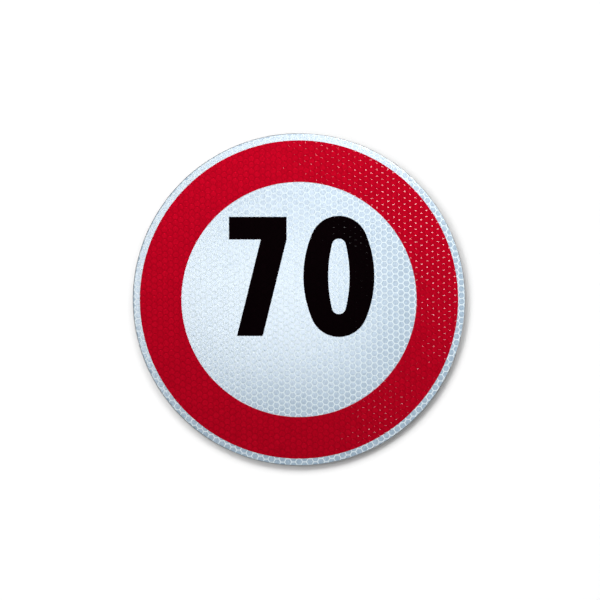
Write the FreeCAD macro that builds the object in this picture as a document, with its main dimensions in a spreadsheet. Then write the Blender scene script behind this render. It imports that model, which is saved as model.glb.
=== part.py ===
import FreeCAD, Part
import math
import os
import Sketcher

# Vehicle speed limit plate: a round aluminium blank with a white reflective sheet bonded to its front,
# and a red ring and two black numerals laid on the sheet. Millimetres. The plate lies on its back, with
# the origin at the centre of the back face, +Z out of the printed face and +Y to the numerals' tops.

# Driving dimensions
SIZES = {
    "plate_diameter": 200.0,
    "plate_thickness": 1.0,
    "front_edge_radius": 0.3,  # drawn in by the punch
    "back_edge_chamfer": 0.15,  # burr taken off
    "sheet_reveal": 0.15,  # flat metal left bare round the sheet
    "sheet_thickness": 0.4,
    "sheet_edge_radius": 0.12,
    "layer_thickness": 0.05,  # of the ring and the numerals
    "white_rim": 4.0,  # sheet showing outside the ring
    "ring_width": 25.0,
    "numeral_height": 71.5,
    "numeral_gap": 10.1,  # between the two numerals
    "numeral_clearance": 5.5,  # from the ring to the nearest corner of the seven
    "row_shift": 1.6,  # of the pair to the right of the plate's centre
    "seven_width": 34.6,
    "bar_height": 13.6,
    "stem_width": 15.5,  # measured level
    "stem_lean": 14.3,  # how far the stem's foot lies left of its head
    "zero_width": 42.6,
    "zero_overshoot": 0.6,  # past the seven's top, and past its foot
    "zero_side_stroke": 14.9,
    "zero_end_stroke": 13.7,
    "zero_outer_taper": 0.18,  # share of the half width that the sides lose before the round ends
    "zero_inner_taper": 0.34,
}

# Derived sizes, as expressions in the sheet's names
SHEET_RADIUS = "(Sizes.plate_diameter / 2 - Sizes.front_edge_radius - Sizes.sheet_reveal)"
RING_OUTER_RADIUS = f"({SHEET_RADIUS} - Sizes.white_rim)"
RING_INNER_RADIUS = f"({RING_OUTER_RADIUS} - Sizes.ring_width)"
LAYER_Z = "(Sizes.plate_thickness + Sizes.sheet_thickness)"
ROW_WIDTH = "(Sizes.seven_width + Sizes.numeral_gap + Sizes.zero_width)"
ROW_LEFT = f"(Sizes.row_shift - {ROW_WIDTH} / 2)"
ROW_TOP = f"sqrt(({RING_INNER_RADIUS} - Sizes.numeral_clearance)^2 - {ROW_LEFT}^2)"
ROW_MIDDLE = f"({ROW_TOP} - Sizes.numeral_height / 2)"
SEVEN_MIDDLE = f"({ROW_LEFT} + Sizes.seven_width / 2)"
ZERO_MIDDLE = f"({ROW_LEFT} + {ROW_WIDTH} - Sizes.zero_width / 2)"

# Sketcher's numbers for the parts of a geometry, and for a sketch's own origin and axes
START, END, CENTRE = range(1, 4)
LEVEL_AXIS = -1
UPRIGHT_AXIS = LEVEL_AXIS - 1
ORIGIN_POINT = (-1, 1)

UP = FreeCAD.Vector(0, 0, 1)
EDGE_TOLERANCE = 1e-6

doc = FreeCAD.newDocument("speed_limit_plate")
sizes = doc.addObject("Spreadsheet::Sheet", "Sizes")
for row, (size_name, number) in enumerate(SIZES.items(), start=1):
    sizes.set(f"A{row}", size_name)
    sizes.set(f"B{row}", str(number))
    sizes.setAlias(f"B{row}", size_name)
doc.recompute()


def value(expression):
    """The number that an expression in the sheet's names has now."""
    return float(sizes.evalExpression(expression))


def point(x, y):
    return FreeCAD.Vector(x, y, 0)


def new_body(name, height, x="0", y="0"):
    body = doc.addObject("PartDesign::Body", name)
    body.Label = name
    body.setExpression("Placement.Base.x", x)
    body.setExpression("Placement.Base.y", y)
    body.setExpression("Placement.Base.z", height)
    return body


def new_sketch(body):
    plane = next(feature for feature in body.Origin.OriginFeatures if feature.Role == "XY_Plane")
    sketch = body.newObject("Sketcher::SketchObject", body.Label + "_outline")
    sketch.AttachmentSupport = [(plane, "")]
    sketch.MapMode = "FlatFace"
    return sketch


def constrain(sketch, kind, *places):
    sketch.addConstraint(Sketcher.Constraint(kind, *places))


def dimension(sketch, name, expression, kind, *places):
    """Adds a dimension that follows an expression."""
    index = sketch.addConstraint(Sketcher.Constraint(kind, *places, value(expression)))
    sketch.renameConstraint(index, name)
    sketch.setExpression(f"Constraints.{name}", expression)


def add_circle(sketch, name, radius):
    circle = sketch.addGeometry(Part.Circle(point(0, 0), UP, value(radius)))
    constrain(sketch, "Coincident", circle, CENTRE, *ORIGIN_POINT)
    dimension(sketch, name + "_radius", radius, "Radius", circle)


def add_arc(sketch, centre, radius, start_angle, end_angle):
    return sketch.addGeometry(Part.ArcOfCircle(Part.Circle(centre, UP, radius), start_angle, end_angle))


def add_oval(sketch, name, half_width, half_height, taper):
    """An upright oval of four arcs about the origin, each tangent to the next. The two side arcs carry
    the half width in, by the taper, to the radius of the two end arcs."""
    end_radius = f"({half_width} * (1 - {taper}))"
    end_height = f"({half_height} - {end_radius})"
    side_radius = f"(({half_width}^2 - {end_radius}^2 + {end_height}^2) / (2 * ({half_width} - {end_radius})))"
    side_offset = value(side_radius) - value(half_width)
    joint_angle = math.atan2(value(end_height), side_offset)
    upright = math.pi
    full_turn = 2 * math.pi

    right = add_arc(sketch, point(-side_offset, 0), value(side_radius), -joint_angle, joint_angle)
    top = add_arc(sketch, point(0, value(end_height)), value(end_radius), joint_angle, upright - joint_angle)
    left = add_arc(
        sketch, point(side_offset, 0), value(side_radius), upright - joint_angle, upright + joint_angle
    )
    bottom = add_arc(
        sketch, point(0, -value(end_height)), value(end_radius), upright + joint_angle, full_turn - joint_angle
    )

    constrain(sketch, "Tangent", right, END, top, START)
    constrain(sketch, "Coincident", top, END, left, START)
    constrain(sketch, "Coincident", left, END, bottom, START)
    constrain(sketch, "Coincident", bottom, END, right, START)
    constrain(sketch, "PointOnObject", right, CENTRE, LEVEL_AXIS)
    constrain(sketch, "PointOnObject", top, CENTRE, UPRIGHT_AXIS)
    constrain(sketch, "PointOnObject", bottom, CENTRE, UPRIGHT_AXIS)
    constrain(sketch, "Horizontal", top, START, top, END)
    constrain(sketch, "Horizontal", bottom, START, bottom, END)
    constrain(sketch, "Vertical", right, START, right, END)
    constrain(sketch, "Equal", top, bottom)
    constrain(sketch, "Equal", right, left)
    dimension(sketch, name + "_end_radius", end_radius, "Radius", top)
    dimension(sketch, name + "_side_radius", side_radius, "Radius", right)
    dimension(sketch, name + "_end_height", end_height, "DistanceY", *ORIGIN_POINT, top, CENTRE)


def add_pad(body, sketch, thickness):
    pad = body.newObject("PartDesign::Pad", body.Label + "_pad")
    pad.Profile = sketch
    pad.setExpression("Length", thickness)
    doc.recompute()
    return pad


def edges_at(feature, height):
    """Names of the feature's edges that lie flat at one height."""
    names = []
    for number, edge in enumerate(feature.Shape.Edges, start=1):
        box = edge.BoundBox
        if max(abs(box.ZMin - height), abs(box.ZMax - height)) < EDGE_TOLERANCE:
            names.append(f"Edge{number}")
    return names


def round_edge(body, feature, height, radius):
    rounding = body.newObject("PartDesign::Fillet", body.Label + "_rounding")
    rounding.Base = (feature, edges_at(feature, height))
    rounding.setExpression("Radius", radius)
    doc.recompute()
    return rounding


def make_backing_plate():
    """Aluminium disc with a rounded front edge and a broken back edge."""
    body = new_body("backing_plate", height="0")
    sketch = new_sketch(body)
    add_circle(sketch, "plate", "Sizes.plate_diameter / 2")
    pad = add_pad(body, sketch, "Sizes.plate_thickness")
    rounding = round_edge(body, pad, value("Sizes.plate_thickness"), "Sizes.front_edge_radius")
    chamfer = body.newObject("PartDesign::Chamfer", "back_edge")
    chamfer.Base = (rounding, edges_at(rounding, 0))
    chamfer.setExpression("Size", "Sizes.back_edge_chamfer")
    return body


def make_reflective_sheet():
    """White film over the plate's flat front, its cut edge slightly rounded."""
    body = new_body("reflective_sheet", height="Sizes.plate_thickness")
    sketch = new_sketch(body)
    add_circle(sketch, "sheet", SHEET_RADIUS)
    pad = add_pad(body, sketch, "Sizes.sheet_thickness")
    round_edge(body, pad, value("Sizes.sheet_thickness"), "Sizes.sheet_edge_radius")
    return body


def make_red_ring():
    body = new_body("red_ring", height=LAYER_Z)
    sketch = new_sketch(body)
    add_circle(sketch, "outer", RING_OUTER_RADIUS)
    add_circle(sketch, "inner", RING_INNER_RADIUS)
    add_pad(body, sketch, "Sizes.layer_thickness")
    return body


def make_numeral_seven():
    """A level bar with a leaning stem under its right end, about the middle of the numeral's box."""
    body = new_body("numeral_seven", height=LAYER_Z, x=SEVEN_MIDDLE, y=ROW_MIDDLE)
    sketch = new_sketch(body)
    right = value("Sizes.seven_width / 2")
    top = value("Sizes.numeral_height / 2")
    bar_foot = top - value("Sizes.bar_height")
    stem_right = right - value("Sizes.stem_lean")
    stem_width = value("Sizes.stem_width")
    corners = [
        point(-right, top),
        point(right, top),
        point(right, bar_foot),
        point(stem_right, -top),
        point(stem_right - stem_width, -top),
        point(right - stem_width, bar_foot),
        point(-right, bar_foot),
    ]
    lines = []
    for corner, next_corner in zip(corners, corners[1:] + corners[:1]):
        lines.append(sketch.addGeometry(Part.LineSegment(corner, next_corner)))
    for line, next_line in zip(lines, lines[1:] + lines[:1]):
        constrain(sketch, "Coincident", line, END, next_line, START)
    bar_top, bar_right, stem_front, stem_foot, stem_back, bar_under, bar_left = lines

    for level in (bar_top, stem_foot, bar_under):
        constrain(sketch, "Horizontal", level)
    for upright in (bar_right, bar_left):
        constrain(sketch, "Vertical", upright)
    constrain(sketch, "Horizontal", bar_right, END, bar_under, START)
    constrain(sketch, "Parallel", stem_front, stem_back)
    dimension(sketch, "half_width", "Sizes.seven_width / 2", "DistanceX", *ORIGIN_POINT, bar_top, END)
    dimension(sketch, "half_height", "Sizes.numeral_height / 2", "DistanceY", *ORIGIN_POINT, bar_top, END)
    dimension(sketch, "width", "Sizes.seven_width", "DistanceX", bar_top, START, bar_top, END)
    dimension(sketch, "height", "Sizes.numeral_height", "DistanceY", stem_foot, START, bar_top, END)
    dimension(sketch, "bar_height", "Sizes.bar_height", "DistanceY", bar_right, END, bar_right, START)
    dimension(sketch, "stem_width", "Sizes.stem_width", "DistanceX", stem_foot, END, stem_foot, START)
    dimension(sketch, "stem_lean", "Sizes.stem_lean", "DistanceX", stem_front, END, stem_front, START)
    add_pad(body, sketch, "Sizes.layer_thickness")
    return body


def make_numeral_zero():
    """An upright oval ring, heavier at its sides than at its ends."""
    body = new_body("numeral_zero", height=LAYER_Z, x=ZERO_MIDDLE, y=ROW_MIDDLE)
    sketch = new_sketch(body)
    half_width = "(Sizes.zero_width / 2)"
    half_height = "(Sizes.numeral_height / 2 + Sizes.zero_overshoot)"
    inner_half_width = f"({half_width} - Sizes.zero_side_stroke)"
    inner_half_height = f"({half_height} - Sizes.zero_end_stroke)"
    add_oval(sketch, "outer", half_width, half_height, "Sizes.zero_outer_taper")
    add_oval(sketch, "inner", inner_half_width, inner_half_height, "Sizes.zero_inner_taper")
    add_pad(body, sketch, "Sizes.layer_thickness")
    return body


pieces = [
    make_backing_plate(),
    make_reflective_sheet(),
    make_red_ring(),
    make_numeral_seven(),
    make_numeral_zero(),
]
doc.recompute()

for item in doc.Objects:
    if "Invalid" in item.State or "Error" in item.State:
        raise RuntimeError(f"{item.Label} failed to build: {item.State}")
for piece in pieces:
    if piece.Shape.isNull() or not piece.Shape.isValid() or len(piece.Shape.Solids) != 1:
        raise RuntimeError(f"{piece.Label} is not one valid solid")

os.makedirs("parts", exist_ok=True)
for piece in pieces:
    piece.Shape.exportStep(f"parts/{piece.Label}.step")
    print(f"{piece.Label}: {piece.Shape.Volume:.1f} cubic millimetres")
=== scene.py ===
import math

import bmesh
import bpy
import numpy as np
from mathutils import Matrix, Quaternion, Vector


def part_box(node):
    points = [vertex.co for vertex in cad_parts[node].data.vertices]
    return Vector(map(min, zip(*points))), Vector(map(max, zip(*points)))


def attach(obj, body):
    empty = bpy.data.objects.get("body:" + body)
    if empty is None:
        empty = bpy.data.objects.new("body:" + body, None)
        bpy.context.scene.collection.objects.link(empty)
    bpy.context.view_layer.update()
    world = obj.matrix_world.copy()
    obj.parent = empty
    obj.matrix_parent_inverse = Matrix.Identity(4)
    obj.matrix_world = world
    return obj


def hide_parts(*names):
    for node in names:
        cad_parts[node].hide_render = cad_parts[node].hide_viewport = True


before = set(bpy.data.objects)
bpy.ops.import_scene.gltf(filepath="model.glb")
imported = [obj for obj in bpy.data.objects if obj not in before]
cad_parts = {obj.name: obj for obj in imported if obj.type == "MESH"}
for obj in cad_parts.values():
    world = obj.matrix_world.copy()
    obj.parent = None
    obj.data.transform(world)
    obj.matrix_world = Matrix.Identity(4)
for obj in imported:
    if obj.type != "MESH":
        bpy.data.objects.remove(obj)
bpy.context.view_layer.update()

# Vehicle speed limit plate, lying face up. The CAD model is the frame: its blank stays, and its sheet,
# ring and numerals are replaced by pieces with the honeycomb of sealed cells that such film has.
# Lengths below are millimetres in the plate's own frame, and objects are made in metres.

MM = 0.001

# Places taken from the CAD model
plate_low, plate_high = (Vector(corner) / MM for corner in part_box("backing_plate"))
sheet_low, sheet_high = (Vector(corner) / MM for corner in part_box("reflective_sheet"))
ring_low, ring_high = (Vector(corner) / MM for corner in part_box("red_ring"))
seven_low, seven_high = (Vector(corner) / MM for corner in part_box("numeral_seven"))
zero_low, zero_high = (Vector(corner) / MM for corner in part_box("numeral_zero"))
SHEET_RADIUS = sheet_high.x
RING_OUTER_RADIUS = ring_high.x
SHEET_TOP = ring_low.z
LAYER_TOP = ring_high.z

# Sizes that a bounding box doesn't give, as in the part's source
RING_WIDTH = 25.0
BAR_HEIGHT = 13.6
STEM_WIDTH = 15.5
STEM_LEAN = 14.3
ZERO_SIDE_STROKE = 14.9
ZERO_END_STROKE = 13.7
ZERO_OUTER_TAPER = 0.18
ZERO_INNER_TAPER = 0.34
SHEET_EDGE_RADIUS = 0.12
RING_INNER_RADIUS = RING_OUTER_RADIUS - RING_WIDTH

# Honeycomb of the film: flat sides level, points to the left and right
CELL_PITCH = 3.80
SEAL_WIDTH = 0.55
LATTICE_ORIGIN = (-1.22, 1.31)  # a cell's centre
LATTICE_TURN = math.radians(0.73)
CELL_CORNER_ROUNDING = 0.20  # 0 is a hexagon and 1 a circle
CELL_SIDES = 6
SEGMENTS_PER_SIDE = 4
SEAL_WAVE = 0.080  # half of a level seal's sag from its ends to its middle, on the coloured layers
SEAL_LIFT = 0.6  # height of the seals' ends, as a share of that
SLANTED_SAG = 0.25  # a slanted seal's sag, as a share of a level one's
BARE_RELIEF = 0.3  # share of the relief that the bare sheet has
RIPPLE = 0.010  # standard deviation of the relief's random part
RIPPLE_LENGTHS = (2.5, 4.0)
RIPPLE_WAVES = 12
FLAT_EDGE = 1.5  # width over which the relief dies out towards the sheet's cut edge
CELL_CROWN = 0.01  # height of a cell's middle
SHOULDER_RADIUS = 0.84  # share of the cell's radius
SHOULDER_CROWN = 0.9  # share of the crown
CELL_TILT = 0.006  # largest random slope of a cell
SPARE_COLUMNS = 3  # of cells, past the sheet's edge
FOLD_ANGLE = math.radians(10)  # above which a fold in the relief is left sharp
WELD_TOLERANCE = 1e-3  # within which the points of neighbouring cells are one
CUT_TOLERANCE = 1e-5  # within which a point counts as on an outline
CUT_STEPS = 4  # of interpolation towards an outline
RANDOM_SEED = 70

rng = np.random.default_rng(RANDOM_SEED)


# Honeycomb lattice

def hexagon_ring():
    """Points round a cell's outline, counted from its right corner."""
    corner_radius = CELL_PITCH / math.sqrt(3)
    points = []
    side_degrees = 360 / CELL_SIDES
    for side in range(CELL_SIDES):
        start = math.radians(side_degrees * side)
        end = math.radians(side_degrees * (side + 1))
        for step in range(SEGMENTS_PER_SIDE):
            share = step / SEGMENTS_PER_SIDE
            x = math.cos(start) * (1 - share) + math.cos(end) * share
            y = math.sin(start) * (1 - share) + math.sin(end) * share
            points.append((x * corner_radius, y * corner_radius))
    return np.array(points)


def cell_pattern():
    """One cell about its own centre: points (x, y, height), triangles, and which triangles are seal.
    Its outline and its rim have a point for each segment, and its shoulder one for every second."""
    outline = hexagon_ring()
    count = len(outline)
    distance = np.hypot(outline[:, 0], outline[:, 1])
    direction = outline / distance[:, None]
    along_side = np.arange(count) / SEGMENTS_PER_SIDE
    is_level = along_side.astype(int) % (CELL_SIDES // 2) == 1  # the top and bottom sides
    sag = np.where(is_level, 1.0, SLANTED_SAG) * (1 - np.cos(2 * math.pi * along_side))
    seal_height = SEAL_WAVE * (SEAL_LIFT - sag)

    half_pitch = CELL_PITCH / 2
    rim_middle = half_pitch - SEAL_WIDTH / 2
    rim_radius = rim_middle * (CELL_CORNER_ROUNDING + (1 - CELL_CORNER_ROUNDING) * distance / half_pitch)
    shoulder_radius = rim_radius * SHOULDER_RADIUS
    shoulder_height = seal_height * (1 - SHOULDER_CROWN) + CELL_CROWN * SHOULDER_CROWN
    points = np.vstack([
        np.column_stack((outline, seal_height)),
        np.column_stack((direction * rim_radius[:, None], seal_height)),
        np.column_stack((direction * shoulder_radius[:, None], shoulder_height))[::2],
        [[0.0, 0.0, CELL_CROWN]],
    ])

    rim = count
    shoulder = 2 * count
    middle = len(points) - 1
    triangles = []
    for index in range(count):
        following = (index + 1) % count
        triangles += [(index, following, rim + following), (index, rim + following, rim + index)]
    seal_triangles = len(triangles)
    for index in range(0, count, 2):
        a, b, c = (rim + (index + step) % count for step in range(3))
        d, e = (shoulder + (index + step) % count // 2 for step in (0, 2))
        triangles += [(a, b, d), (b, e, d), (b, c, e), (d, e, middle)]
    return points, np.array(triangles), np.arange(len(triangles)) < seal_triangles


def cell_centres():
    """Centres of the cells that reach the sheet, and the matrix that turns the lattice."""
    corner_radius = CELL_PITCH / math.sqrt(3)
    column_step = 1.5 * corner_radius
    reach = int(SHEET_RADIUS / column_step) + SPARE_COLUMNS
    turn = np.array(
        [[math.cos(LATTICE_TURN), math.sin(LATTICE_TURN)], [-math.sin(LATTICE_TURN), math.cos(LATTICE_TURN)]]
    )
    centres = []
    for column in range(-reach, reach + 1):
        for row in range(-reach, reach + 1):
            centre = np.array([column * column_step, (row + column % 2 / 2) * CELL_PITCH])
            centre = centre @ turn + LATTICE_ORIGIN
            if math.hypot(*centre) < SHEET_RADIUS + corner_radius:
                centres.append(centre)
    return np.array(centres), turn


def ripple(x, y):
    """Random rise and fall of the film, as a sum of waves in random directions."""
    heading = rng.uniform(0, 2 * math.pi, RIPPLE_WAVES)
    frequency = 2 * math.pi / rng.uniform(*RIPPLE_LENGTHS, RIPPLE_WAVES)
    phase = rng.uniform(0, 2 * math.pi, RIPPLE_WAVES)
    along = np.outer(x, np.cos(heading)) + np.outer(y, np.sin(heading))
    return np.cos(along * frequency + phase).sum(axis=1) * RIPPLE * math.sqrt(2 / RIPPLE_WAVES)


def make_lattice():
    """The whole honeycomb as one sheet: points (x, y, height), triangles, seal marks and cell tones."""
    pattern, pattern_triangles, pattern_seal = cell_pattern()
    centres, turn = cell_centres()
    pattern[:, :2] = pattern[:, :2] @ turn
    outline_count = CELL_SIDES * SEGMENTS_PER_SIDE
    cells = np.repeat(pattern[None], len(centres), axis=0)
    tilt = rng.uniform(-CELL_TILT, CELL_TILT, (len(centres), 1, 2))
    inside = slice(2 * outline_count, None)  # the shoulder and the middle
    cells[:, inside, 2] += (cells[:, inside, :2] * tilt).sum(axis=2)
    cells[:, :, :2] += centres[:, None, :]
    points = cells.reshape(-1, 3)
    offsets = np.arange(len(centres)) * len(pattern)
    triangles = (pattern_triangles[None] + offsets[:, None, None]).reshape(-1, 3)

    keys = np.round(points[:, :2] / WELD_TOLERANCE).astype(np.int64)
    _, first, same = np.unique(keys, axis=0, return_index=True, return_inverse=True)
    tones = np.repeat(rng.uniform(0, 1, len(centres)), len(pattern_triangles))
    points = points[first]
    points[:, 2] += ripple(points[:, 0], points[:, 1])
    to_edge = SHEET_RADIUS - np.hypot(points[:, 0], points[:, 1])
    points[:, 2] *= np.clip(to_edge / FLAT_EDGE, 0, 1)
    return points, same.reshape(-1)[triangles], np.tile(pattern_seal, len(centres)), tones


# Outlines of the colour fields, as functions that are negative inside

def circle_level(radius):
    return lambda x, y: np.hypot(x, y) - radius


def line_level(start, end):
    """Signed distance from the line through two points, negative on its right."""
    along = np.subtract(end, start) / math.dist(start, end)
    return lambda x, y: along[0] * (y - start[1]) - along[1] * (x - start[0])


def oval_level(centre, half_width, half_height, taper):
    """An upright oval of four tangent arcs."""
    end_radius = half_width * (1 - taper)
    end_height = half_height - end_radius
    side_radius = (half_width**2 - end_radius**2 + end_height**2) / (2 * (half_width - end_radius))
    side_offset = side_radius - half_width

    def level(x, y):
        across = np.abs(x - centre.x)
        up = np.abs(y - centre.y)
        in_end = up * side_offset > end_height * (across + side_offset)
        end = np.hypot(across, up - end_height) - end_radius
        side = np.hypot(across + side_offset, up) - side_radius
        return np.where(in_end, end, side)

    return level


def seven_corners():
    bar_foot = seven_high.y - BAR_HEIGHT
    stem_right = seven_high.x - STEM_LEAN
    return [
        (seven_low.x, seven_high.y),
        (seven_high.x, seven_high.y),
        (seven_high.x, bar_foot),
        (stem_right, seven_low.y),
        (stem_right - STEM_WIDTH, seven_low.y),
        (seven_high.x - STEM_WIDTH, bar_foot),
        (seven_low.x, bar_foot),
    ]


seven_outline = seven_corners()
SEVEN_LINES = [line_level(a, b) for a, b in zip(seven_outline, seven_outline[1:] + seven_outline[:1])]
zero_centre = (zero_low + zero_high) / 2
zero_half = (zero_high - zero_low) / 2
zero_outer = oval_level(zero_centre, zero_half.x, zero_half.y, ZERO_OUTER_TAPER)
zero_inner = oval_level(
    zero_centre, zero_half.x - ZERO_SIDE_STROKE, zero_half.y - ZERO_END_STROKE, ZERO_INNER_TAPER
)
sheet_edge = circle_level(SHEET_RADIUS - SHEET_EDGE_RADIUS)
ring_outer = circle_level(RING_OUTER_RADIUS)
ring_inner = circle_level(RING_INNER_RADIUS)


def in_seven(x, y):
    top, right, front, foot, back, under, left = (line(x, y) < 0 for line in SEVEN_LINES)
    in_bar = top & right & under & left
    in_stem = front & foot & back & ~under
    return in_bar | in_stem


def near_seven(x, y):
    margin = CELL_PITCH
    across = (x > seven_low.x - margin) & (x < seven_high.x + margin)
    return across & (y > seven_low.y - margin) & (y < seven_high.y + margin)


# Cutting the honeycomb along the outlines

def cut_along(points, triangles, marks, level, near=None):
    """Splits each triangle that an outline crosses, everywhere or where near says, so that the outline
    follows edges."""
    value = level(points[:, 0], points[:, 1])
    value[np.abs(value) < CUT_TOLERANCE] = 0
    sides = np.sign(value)[triangles]
    crossed = (sides.min(axis=1) < 0) & (sides.max(axis=1) > 0)
    if near is not None:
        middles = points[triangles].mean(axis=1)
        crossed &= near(middles[:, 0], middles[:, 1])
    new_points = list(points)
    cuts = {}

    def cut(first, second):
        """The point where the outline crosses an edge, found by repeated interpolation."""
        key = (min(first, second), max(first, second))
        if key not in cuts:
            low, high = new_points[key[0]], new_points[key[1]]
            low_value, high_value = value[key[0]], value[key[1]]
            for _ in range(CUT_STEPS):
                middle = low + (high - low) * (low_value / (low_value - high_value))
                middle_value = float(level(middle[0], middle[1]))
                if middle_value * low_value > 0:
                    low, low_value = middle, middle_value
                else:
                    high, high_value = middle, middle_value
            cuts[key] = len(new_points)
            new_points.append(middle)
        return cuts[key]

    new_triangles = []
    sources = []
    for source in np.nonzero(crossed)[0]:
        corners = [int(corner) for corner in triangles[source]]
        signs = [float(np.sign(value[corner])) for corner in corners]
        lone = next(
            index for index in range(3)
            if signs[index] == 0 or (signs.count(0) == 0 and signs.count(signs[index]) == 1)
        )
        a, b, c = corners[lone:] + corners[:lone]
        if signs[lone] == 0:
            middle = cut(b, c)
            pieces = [(a, b, middle), (a, middle, c)]
        else:
            on_b, on_c = cut(a, b), cut(a, c)
            pieces = [(a, on_b, on_c), (on_b, b, c), (on_b, c, on_c)]
        new_triangles += pieces
        sources += [source] * len(pieces)
    kept = ~crossed
    triangles = np.vstack([triangles[kept]] + ([np.array(new_triangles)] if new_triangles else []))
    marks = [np.concatenate((mark[kept], mark[sources])) for mark in marks]
    return np.array(new_points), triangles, marks


points, triangles, is_seal, tones = make_lattice()
marks = [is_seal, tones]
for outline in (sheet_edge, ring_outer, ring_inner, zero_outer, zero_inner):
    points, triangles, marks = cut_along(points, triangles, marks, outline)
for outline in SEVEN_LINES:
    points, triangles, marks = cut_along(points, triangles, marks, outline, near_seven)
is_seal, tones = marks
middle_x, middle_y = points[triangles].mean(axis=1)[:, :2].T
on_sheet = sheet_edge(middle_x, middle_y) < 0
on_ring = (ring_outer(middle_x, middle_y) < 0) & (ring_inner(middle_x, middle_y) > 0)
on_seven = in_seven(middle_x, middle_y)
on_zero = (zero_outer(middle_x, middle_y) < 0) & (zero_inner(middle_x, middle_y) > 0)


# Pieces cut from the honeycomb

CELL_SLOT, SEAL_SLOT = 0, 1
RECESS_FLOOR = SHEET_TOP - 2 * SEAL_WAVE  # of the sheet under the coloured layers


def surface_mesh(chosen, height, relief):
    """The chosen triangles as a bmesh at a height, with a share of the relief, the cells' tones and two
    material slots."""
    corners, packed = np.unique(triangles[chosen], return_inverse=True)
    faces = packed.reshape(-1, 3)
    mesh = bmesh.new()
    tone = mesh.faces.layers.float.new("cell_tone")
    vertices = [
        mesh.verts.new((x * MM, y * MM, (height + rise * relief) * MM)) for x, y, rise in points[corners]
    ]
    for face, seal, value in zip(faces, is_seal[chosen], tones[chosen]):
        made = mesh.faces.new([vertices[index] for index in face])
        made.material_index = SEAL_SLOT if seal else CELL_SLOT
        made[tone] = value
        made.smooth = True
    mesh.normal_update()
    for edge in mesh.edges:
        one_material = len({face.material_index for face in edge.link_faces}) == 1
        edge.smooth = one_material and edge.calc_face_angle(0) < FOLD_ANGLE
    return mesh


def wall_down(mesh, edges, height, radius=None, sharp=True):
    """Draws edges down to a height, and out to a radius if one is given, and returns the new edges."""
    for edge in edges:
        edge.smooth = not sharp
    drawn = bmesh.ops.extrude_edge_only(mesh, edges=edges)["geom"]
    new_edges = [item for item in drawn if isinstance(item, bmesh.types.BMEdge) and item.is_boundary]
    for vertex in {vertex for edge in new_edges for vertex in edge.verts}:
        vertex.co.z = height * MM
        if radius is not None:
            vertex.co.xy = vertex.co.xy.normalized() * radius * MM
    for item in drawn:
        if isinstance(item, bmesh.types.BMFace):
            item.material_index = SEAL_SLOT
            item.smooth = True
    return new_edges


def close_flat(mesh, edges):
    """Fills a flat outline, with its holes."""
    for edge in edges:
        edge.smooth = False
    filled = bmesh.ops.triangle_fill(mesh, edges=edges, use_beauty=True)["geom"]
    for item in filled:
        if isinstance(item, bmesh.types.BMFace):
            item.material_index = SEAL_SLOT


def finish_piece(mesh, name, node, materials):
    """Makes a bmesh the object that stands in for a node of the CAD model."""
    bmesh.ops.recalc_face_normals(mesh, faces=mesh.faces)
    data = bpy.data.meshes.new(name)
    mesh.to_mesh(data)
    mesh.free()
    for material in materials:
        data.materials.append(material)
    piece = bpy.data.objects.new(name, data)
    bpy.context.scene.collection.objects.link(piece)
    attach(piece, "root")
    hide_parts(node)
    return piece


def edge_middle(edge):
    middle = (edge.verts[0].co + edge.verts[1].co) / (2 * MM)
    return middle.x, middle.y


def boundary(mesh):
    return [edge for edge in mesh.edges if edge.is_boundary]


def make_sheet(materials):
    """White sheet: honeycomb where it shows, flat floors under the coloured layers, a rounded cut edge."""
    mesh = surface_mesh(on_sheet & ~on_ring & ~on_seven & ~on_zero, SHEET_TOP, BARE_RELIEF)
    rim_radius = SHEET_RADIUS - SHEET_EDGE_RADIUS
    outer = []
    inner = []
    for edge in boundary(mesh):
        at_rim = math.hypot(*edge_middle(edge)) > (rim_radius + RING_OUTER_RADIUS) / 2
        (outer if at_rim else inner).append(edge)
    close_flat(mesh, wall_down(mesh, inner, RECESS_FLOOR))
    shoulder = SHEET_TOP - SHEET_EDGE_RADIUS
    halfway = math.radians(45)
    middle_radius = rim_radius + SHEET_EDGE_RADIUS * math.sin(halfway)
    middle_height = shoulder + SHEET_EDGE_RADIUS * math.cos(halfway)
    outer = wall_down(mesh, outer, middle_height, middle_radius, sharp=False)
    outer = wall_down(mesh, outer, shoulder, SHEET_RADIUS, sharp=False)
    close_flat(mesh, wall_down(mesh, outer, sheet_low.z, sharp=False))
    return finish_piece(mesh, "sheet_face", "reflective_sheet", materials)


def make_layer(name, node, chosen, materials):
    """A coloured layer that follows the sheet's honeycomb."""
    mesh = surface_mesh(chosen, LAYER_TOP, 1.0)
    close_flat(mesh, wall_down(mesh, boundary(mesh), RECESS_FLOOR))
    return finish_piece(mesh, name, node, materials)


# Materials

MIX_FIRST_COLOUR, MIX_SECOND_COLOUR, MIX_COLOUR_OUT = 6, 7, 2  # the mix node's colour sockets


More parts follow.
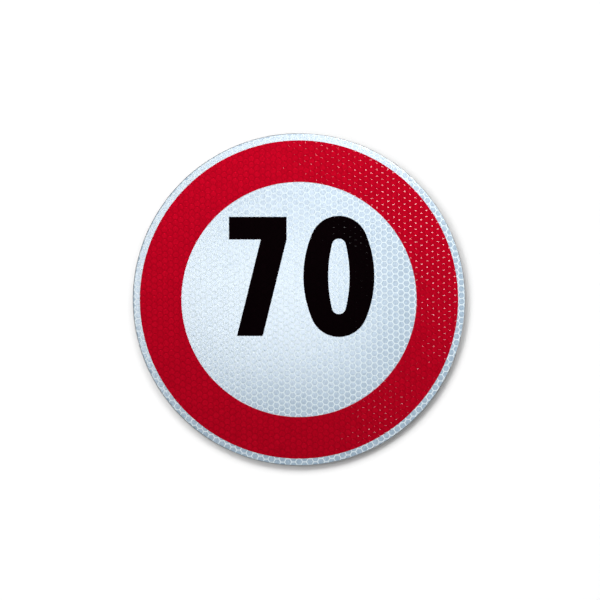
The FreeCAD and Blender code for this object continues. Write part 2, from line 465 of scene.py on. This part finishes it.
class Shader:
    """A new material's nodes, with the few steps that the materials below share."""

    def __init__(self, name):
        self.material = bpy.data.materials.new(name)
        self.material.use_nodes = True
        self.nodes = self.material.node_tree.nodes
        self.links = self.material.node_tree.links
        self.surface = self.nodes["Principled BSDF"]
        self.coordinates = self.nodes.new("ShaderNodeTexCoord").outputs["Object"]

    def set(self, **values):
        for name, value in values.items():
            self.surface.inputs[name.replace("_", " ")].default_value = value

    def noise(self, scale, detail=2.0, stretch=(1, 1, 1)):
        mapping = self.nodes.new("ShaderNodeMapping")
        mapping.inputs["Scale"].default_value = stretch
        self.links.new(self.coordinates, mapping.inputs["Vector"])
        texture = self.nodes.new("ShaderNodeTexNoise")
        texture.inputs["Scale"].default_value = scale
        texture.inputs["Detail"].default_value = detail
        self.links.new(mapping.outputs["Vector"], texture.inputs["Vector"])
        return texture.outputs["Fac"]

    def tone(self):
        attribute = self.nodes.new("ShaderNodeAttribute")
        attribute.attribute_name = "cell_tone"
        return attribute.outputs["Fac"]

    def ramp(self, factor, low, high, start=0.3, end=0.7):
        """Colour that goes from low to high as the factor goes from start to end."""
        ramp = self.nodes.new("ShaderNodeValToRGB")
        ramp.color_ramp.elements[0].position = start
        ramp.color_ramp.elements[0].color = (*low, 1)
        ramp.color_ramp.elements[1].position = end
        ramp.color_ramp.elements[1].color = (*high, 1)
        self.links.new(factor, ramp.inputs["Fac"])
        return ramp.outputs["Color"]

    def multiply(self, first, second):
        mix = self.nodes.new("ShaderNodeMix")
        mix.data_type = "RGBA"
        mix.blend_type = "MULTIPLY"
        mix.inputs["Factor"].default_value = 1.0
        self.links.new(first, mix.inputs[MIX_FIRST_COLOUR])
        self.links.new(second, mix.inputs[MIX_SECOND_COLOUR])
        return mix.outputs[MIX_COLOUR_OUT]

    def between(self, factor, low, high):
        """Number that goes from low to high with a factor from 0 to 1."""
        span = self.nodes.new("ShaderNodeMapRange")
        span.inputs["To Min"].default_value = low
        span.inputs["To Max"].default_value = high
        self.links.new(factor, span.inputs["Value"])
        return span.outputs["Result"]

    def colour(self, output):
        self.links.new(output, self.surface.inputs["Base Color"])

    def roughness(self, output):
        self.links.new(output, self.surface.inputs["Roughness"])

    def bump(self, height, distance, strength):
        bump = self.nodes.new("ShaderNodeBump")
        bump.inputs["Strength"].default_value = strength
        bump.inputs["Distance"].default_value = distance
        self.links.new(height, bump.inputs["Height"])
        self.links.new(bump.outputs["Normal"], self.surface.inputs["Normal"])


# Fine textures, with noise scales per metre and depths in metres
BEAD_IOR = 1.9
BEAD_SCALE = 900.0
BEAD_SHADE = 0.84  # of the darkest beads
BEAD_ROUGHNESS_CHANGES = (-0.06, 0.06)
SKIN_SCALE = 4200.0
SKIN_DEPTH = 0.00002
SEAL_TONE_SCALE = 420.0
SEAL_GLOSS_SCALE = 650.0
SEAL_ROUGHNESS_CHANGES = (-0.03, 0.05)
SEAL_COAT_ROUGHNESS = 0.08
GRAIN_SCALE = 700.0
GRAIN_STRETCH = (0.03, 1, 1)  # long along X
GRAIN_DEPTH = 0.00001
GRAIN_ROUGHNESS = (0.26, 0.44)
FLOOR_TONE_SCALE = 6.0


def grey(value):
    return (value, value, value)


def film_cell(name, low, high, metallic, shine, rough):
    """Floor of the cells, seen through the film: beads of dense glass, each cell a little different."""
    shader = Shader(name)
    cells = shader.ramp(shader.tone(), low, high, start=0.0, end=1.0)
    bead_noise = shader.noise(BEAD_SCALE, detail=1.0)
    beads = shader.ramp(bead_noise, grey(BEAD_SHADE), grey(1.0), start=0.35, end=0.65)
    shader.colour(shader.multiply(cells, beads))
    smoothest, roughest = (rough + change for change in BEAD_ROUGHNESS_CHANGES)
    shader.roughness(shader.between(shader.noise(BEAD_SCALE), smoothest, roughest))
    shader.set(Metallic=metallic, Specular_IOR_Level=shine, IOR=BEAD_IOR)
    shader.bump(shader.noise(SKIN_SCALE), SKIN_DEPTH, strength=0.4)
    return shader.material


def film_seal(name, low, high, metallic, shine, rough, coat):
    """Solid seal lines between the cells, under smooth film."""
    shader = Shader(name)
    shader.colour(shader.ramp(shader.noise(SEAL_TONE_SCALE, detail=3.0), low, high))
    smoothest, roughest = (rough + change for change in SEAL_ROUGHNESS_CHANGES)
    shader.roughness(shader.between(shader.noise(SEAL_GLOSS_SCALE), smoothest, roughest))
    shader.set(Specular_IOR_Level=shine, Metallic=metallic)
    shader.set(Coat_Weight=coat, Coat_Roughness=SEAL_COAT_ROUGHNESS)
    return shader.material


def aluminium():
    """Mill-finished sheet: a fine grain along the rolling direction."""
    shader = Shader("mill_aluminium")
    grain = shader.noise(GRAIN_SCALE, detail=4.0, stretch=GRAIN_STRETCH)
    shader.colour(shader.ramp(grain, low=(0.62, 0.63, 0.65), high=(0.76, 0.77, 0.79)))
    shader.roughness(shader.between(grain, *GRAIN_ROUGHNESS))
    shader.set(Metallic=1.0)
    shader.bump(grain, GRAIN_DEPTH, strength=0.5)
    return shader.material


def floor_paper():
    shader = Shader("floor_paper")
    shader.colour(shader.ramp(shader.noise(FLOOR_TONE_SCALE), low=grey(0.90), high=grey(0.92)))
    shader.set(Roughness=0.95, Specular_IOR_Level=0.0)
    return shader.material


white_materials = [
    film_cell(
        "white_cells", (0.34, 0.455, 0.57), (0.37, 0.485, 0.60),
        metallic=0.0, shine=0.85, rough=0.25,
    ),
    film_seal(
        "white_seals", (0.55, 0.63, 0.67), (0.60, 0.68, 0.72),
        metallic=0.0, shine=0.15, rough=0.35, coat=0.0,
    ),
]
red_materials = [
    film_cell(
        "red_cells", (0.48, 0.0013, 0.014), (0.52, 0.0017, 0.016),
        metallic=0.1, shine=0.0, rough=0.25,
    ),
    film_seal(
        "red_seals", (0.345, 0.0010, 0.010), (0.385, 0.0013, 0.012),
        metallic=0.1, shine=0.0, rough=0.35, coat=0.6,
    ),
]
black_materials = [
    film_cell(
        "black_cells", (0.0022, 0.0007, 0.0012), (0.0026, 0.0008, 0.0014),
        metallic=0.0, shine=0.0, rough=0.5,
    ),
    film_seal(
        "black_seals", (0.0016, 0.0006, 0.0009), (0.0020, 0.0007, 0.0011),
        metallic=0.0, shine=0.0, rough=0.35, coat=0.25,
    ),
]

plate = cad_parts["backing_plate"]
sheet = make_sheet(white_materials)
layers = [
    make_layer("red_ring_face", "red_ring", on_ring, red_materials),
    make_layer("numeral_seven_face", "numeral_seven", on_seven, black_materials),
    make_layer("numeral_zero_face", "numeral_zero", on_zero, black_materials),
]
plate.data.materials.clear()
plate.data.materials.append(aluminium())


# Floor, light and camera, in metres

FLOOR_REACH = 3.0  # from its middle to its sides


def make_floor():
    mesh = bmesh.new()
    bmesh.ops.create_grid(mesh, x_segments=1, y_segments=1, size=FLOOR_REACH)
    data = bpy.data.meshes.new("floor")
    mesh.to_mesh(data)
    mesh.free()
    data.materials.append(floor_paper())
    floor = bpy.data.objects.new("floor", data)
    floor.location.z = plate_low.z * MM
    bpy.context.scene.collection.objects.link(floor)
    return floor


def area_light(name, place, size, power, receivers, roll=0.0):
    """A soft light of a width and a height, aimed at the plate's middle, for the given objects alone."""
    light = bpy.data.lights.new(name, "AREA")
    light.shape = "RECTANGLE"
    light.size, light.size_y = size
    light.energy = power
    lamp = bpy.data.objects.new(name, light)
    lamp.location = place
    aim = (-Vector(place)).to_track_quat("-Z", "Y")
    lamp.rotation_euler = (aim @ Quaternion((0, 0, 1), roll)).to_euler()
    lamp.visible_camera = False
    bpy.context.scene.collection.objects.link(lamp)
    lamp.light_linking.receiver_collection = bpy.data.collections.new(name + "_receivers")
    for receiver in receivers:
        lamp.light_linking.receiver_collection.objects.link(receiver)


# The surround's bands, by the sine of the elevation
PALE_UP_TO = 0.29
DARK_FROM = 0.36
DARK_SHADE = 0.007
WORLD_STRENGTH = 0.85


def make_world():
    """Pale near the horizon and dark overhead, so that the gloss keeps its depth seen from above."""
    world = bpy.data.worlds.new("studio")
    world.use_nodes = True
    nodes = world.node_tree.nodes
    links = world.node_tree.links
    background = nodes["Background"]
    split = nodes.new("ShaderNodeSeparateXYZ")
    links.new(nodes.new("ShaderNodeTexCoord").outputs["Generated"], split.inputs["Vector"])
    ramp = nodes.new("ShaderNodeValToRGB")
    ramp.color_ramp.elements[0].position = PALE_UP_TO
    ramp.color_ramp.elements[0].color = (*grey(1.0), 1)
    ramp.color_ramp.elements[1].position = DARK_FROM
    ramp.color_ramp.elements[1].color = (*grey(DARK_SHADE), 1)
    links.new(split.outputs["Z"], ramp.inputs["Fac"])
    links.new(ramp.outputs["Color"], background.inputs["Color"])
    background.inputs["Strength"].default_value = WORLD_STRENGTH
    bpy.context.scene.world = world


BACKDROP_LIGHTS = 8
BACKDROP_HEADING = math.radians(122)  # of the strongest light, anticlockwise from +X
BACKDROP_ELEVATION = math.radians(16)
BACKDROP_DISTANCE = 14.0
BACKDROP_SIZE = (8.8, 3.5)
BACKDROP_POWER = 2760.0  # of the strongest light
BACKDROP_LEAST_SHARE = 0.03  # of that, for the light across from it
BACKDROP_FOCUS = 2.5  # how fast the others fall off


def light_floor(floor):
    """A ring of low lights for the floor alone, strongest behind the plate, for a soft shadow in front."""
    for index in range(BACKDROP_LIGHTS):
        turn = 2 * math.pi * index / BACKDROP_LIGHTS
        nearness = (1 + math.cos(turn)) / 2
        share = BACKDROP_LEAST_SHARE + (1 - BACKDROP_LEAST_SHARE) * nearness**BACKDROP_FOCUS
        heading = BACKDROP_HEADING + turn
        out = BACKDROP_DISTANCE * math.cos(BACKDROP_ELEVATION)
        up = BACKDROP_DISTANCE * math.sin(BACKDROP_ELEVATION)
        place = (out * math.cos(heading), out * math.sin(heading), up)
        area_light(f"backdrop_{index}", place, BACKDROP_SIZE, BACKDROP_POWER * share, [floor])


IMAGE_PIXELS = 600
PLATE_PIXELS = 332.8  # the plate's diameter in the photograph
PLATE_CENTRE_PIXELS = (299.0, 299.5)  # from the photograph's top left corner
LENS = 50.0
SENSOR = 36.0


def make_camera():
    """Looks straight down on the plate, at the distance that gives it the photograph's size."""
    plate_width = (plate_high.x - plate_low.x) * MM
    pixel = plate_width / PLATE_PIXELS
    data = bpy.data.cameras.new("camera")
    data.lens = LENS
    data.sensor_width = SENSOR
    camera = bpy.data.objects.new("camera", data)
    half_image = IMAGE_PIXELS / 2
    camera.location = (
        (half_image - PLATE_CENTRE_PIXELS[0]) * pixel,
        (PLATE_CENTRE_PIXELS[1] - half_image) * pixel,
        plate_high.z * MM + IMAGE_PIXELS * pixel * LENS / SENSOR,
    )
    bpy.context.scene.collection.objects.link(camera)
    bpy.context.scene.camera = camera


floor = make_floor()
make_world()

# Broad lights for the colours
area_light("key", (-0.14, 0.50, 0.36), (0.30, 0.20), 5.3, layers)
area_light("sheet_key", (0.23, 0.42, 0.45), (0.30, 0.20), 4.9, [sheet])

# Lights that show in the gloss of the sheet's cells
area_light("overhead", (-0.045, 0.0, 0.60), (0.20, 0.28), 0.63, [sheet])
area_light("top", (0.01, 0.22, 0.60), (0.32, 0.08), 0.36, [sheet])
area_light("left", (-0.20, 0.08, 0.60), (0.26, 0.06), 0.18, [sheet])
area_light("side", (0.38, 0.25, 0.30), (0.20, 0.10), 0.75, [sheet])

# Strips that glint on the relief of the layers, at the right
area_light("glint", (0.310, 0.114, 0.50), (0.20, 0.08), 0.98, layers, math.radians(18))
area_light("glint_top", (0.195, 0.200, 0.50), (0.06, 0.03), 0.09, layers, math.radians(35))
area_light("glint_right", (0.350, -0.028, 0.50), (0.084, 0.024), 0.08, layers)
area_light("glint_low", (0.264, -0.155, 0.50), (0.08, 0.03), 0.1, layers)

light_floor(floor)
make_camera()
bpy.context.scene.view_settings.view_transform = "Standard"
